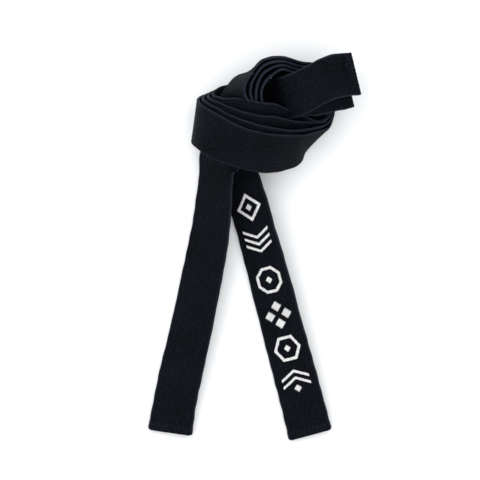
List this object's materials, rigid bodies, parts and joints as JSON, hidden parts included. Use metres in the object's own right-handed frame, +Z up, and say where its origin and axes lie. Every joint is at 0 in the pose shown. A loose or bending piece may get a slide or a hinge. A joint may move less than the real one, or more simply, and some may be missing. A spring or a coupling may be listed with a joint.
{
  "type": "martial arts belt",
  "caption": "Black martial arts belt folded into a bundle and tied in one overhand knot, with two loose tails, one carrying pale embroidered motifs.",
  "frame": {"origin": "on the resting plane, under the middle of the knot", "axes": "+Z up from the resting plane, -Y towards the two tail tips, +X towards the doubled end of the bundle"},
  "size_m": [0.1932, 0.352, 0.0662],
  "materials": {
    "cover_cloth": "satin",
    "core_cloth": "matte",
    "thread": "satin",
    "hem_cloth": "satin",
    "embroidery": "satin"
  },
  "bodies": {
    "knot": {"ply_1_cover": "cover_cloth", "ply_1_core": "core_cloth", "ply_1_stitching": "thread", "ply_2_cover": "cover_cloth", "ply_2_core": "core_cloth", "ply_2_stitching": "thread", "ply_3_cover": "cover_cloth", "ply_3_core": "core_cloth", "ply_3_stitching": "thread", "ply_4_cover": "cover_cloth", "ply_4_core": "core_cloth", "ply_4_stitching": "thread", "hidden_fold_cover": "cover_cloth", "hidden_fold_core": "core_cloth", "hidden_fold_stitching": "thread", "motif_1": "embroidery"},
    "left_tail_1": {"left_tail_1_cover": "cover_cloth", "left_tail_1_core": "core_cloth", "left_tail_1_stitching": "thread"},
    "left_tail_2": {"left_tail_2_cover": "cover_cloth", "left_tail_2_core": "core_cloth", "left_tail_2_stitching": "thread"},
    "left_tail_3": {"left_tail_3_cover": "cover_cloth", "left_tail_3_core": "core_cloth", "left_tail_3_stitching": "thread"},
    "left_tail_4": {"left_tail_4_cover": "cover_cloth", "left_tail_4_core": "core_cloth", "left_tail_4_stitching": "thread", "left_tail_hem": "hem_cloth", "left_tail_hem_stitching": "thread"},
    "right_tail_1": {"right_tail_1_cover": "cover_cloth", "right_tail_1_core": "core_cloth", "right_tail_1_stitching": "thread", "motif_2": "embroidery"},
    "right_tail_2": {"right_tail_2_cover": "cover_cloth", "right_tail_2_core": "core_cloth", "right_tail_2_stitching": "thread", "motif_3": "embroidery"},
    "right_tail_3": {"right_tail_3_cover": "cover_cloth", "right_tail_3_core": "core_cloth", "right_tail_3_stitching": "thread", "motif_4": "embroidery", "motif_5": "embroidery"},
    "right_tail_4": {"right_tail_4_cover": "cover_cloth", "right_tail_4_core": "core_cloth", "right_tail_4_stitching": "thread", "motif_6": "embroidery", "right_tail_hem": "hem_cloth", "right_tail_hem_stitching": "thread"},
    "upper_loop": {"upper_loop_cover": "cover_cloth", "upper_loop_core": "core_cloth", "upper_loop_stitching": "thread"},
    "lower_loop": {"lower_loop_cover": "cover_cloth", "lower_loop_core": "core_cloth", "lower_loop_stitching": "thread"}
  },
  "joints": [
    {"name": "left_tail_hinge_1", "type": "hinge", "parent": "knot", "child": "left_tail_1", "pos_m": [-0.04606, -0.101, 0.0135], "axis": [-0.8531, 0.1343, -0.5041], "range_deg": [0, 30]},
    {"name": "left_tail_hinge_2", "type": "hinge", "parent": "left_tail_1", "child": "left_tail_2", "pos_m": [-0.0546, -0.148, 0.00975], "axis": [-0.9031, 0.175, -0.3923], "range_deg": [0, 35]},
    {"name": "left_tail_hinge_3", "type": "hinge", "parent": "left_tail_2", "child": "left_tail_3", "pos_m": [-0.06428, -0.195, 0.00793], "axis": [-0.9297, 0.1975, -0.3109], "range_deg": [0, 35]},
    {"name": "left_tail_hinge_4", "type": "hinge", "parent": "left_tail_3", "child": "left_tail_4", "pos_m": [-0.07508, -0.242, 0.00595], "axis": [-0.9562, 0.2033, -0.2105], "range_deg": [0, 35]},
    {"name": "right_tail_hinge_1", "type": "hinge", "parent": "knot", "child": "right_tail_1", "pos_m": [-0.00668, -0.101, 0.01214], "axis": [-0.8443, -0.2258, -0.4859], "range_deg": [0, 25]},
    {"name": "right_tail_hinge_2", "type": "hinge", "parent": "right_tail_1", "child": "right_tail_2", "pos_m": [0.00238, -0.1335, 0.01052], "axis": [-0.8736, -0.2361, -0.4256], "range_deg": [0, 30]},
    {"name": "right_tail_hinge_3", "type": "hinge", "parent": "right_tail_2", "child": "right_tail_3", "pos_m": [0.01121, -0.1665, 0.00895], "axis": [-0.9022, -0.2409, -0.3578], "range_deg": [0, 30]},
    {"name": "right_tail_hinge_4", "type": "hinge", "parent": "right_tail_3", "child": "right_tail_4", "pos_m": [0.02755, -0.228, 0.00659], "axis": [-0.9366, -0.2511, -0.2444], "range_deg": [0, 35]},
    {"name": "upper_loop_hinge", "type": "hinge", "parent": "knot", "child": "upper_loop", "pos_m": [0.05918, 0.02641, 0.05054], "axis": [0.228, -0.9706, -0.0771], "range_deg": [0, 20]},
    {"name": "lower_loop_hinge", "type": "hinge", "parent": "knot", "child": "lower_loop", "pos_m": [0.06024, 0.0261, 0.03372], "axis": [-0.2014, 0.9785, 0.0454], "range_deg": [0, 15]}
  ]
}
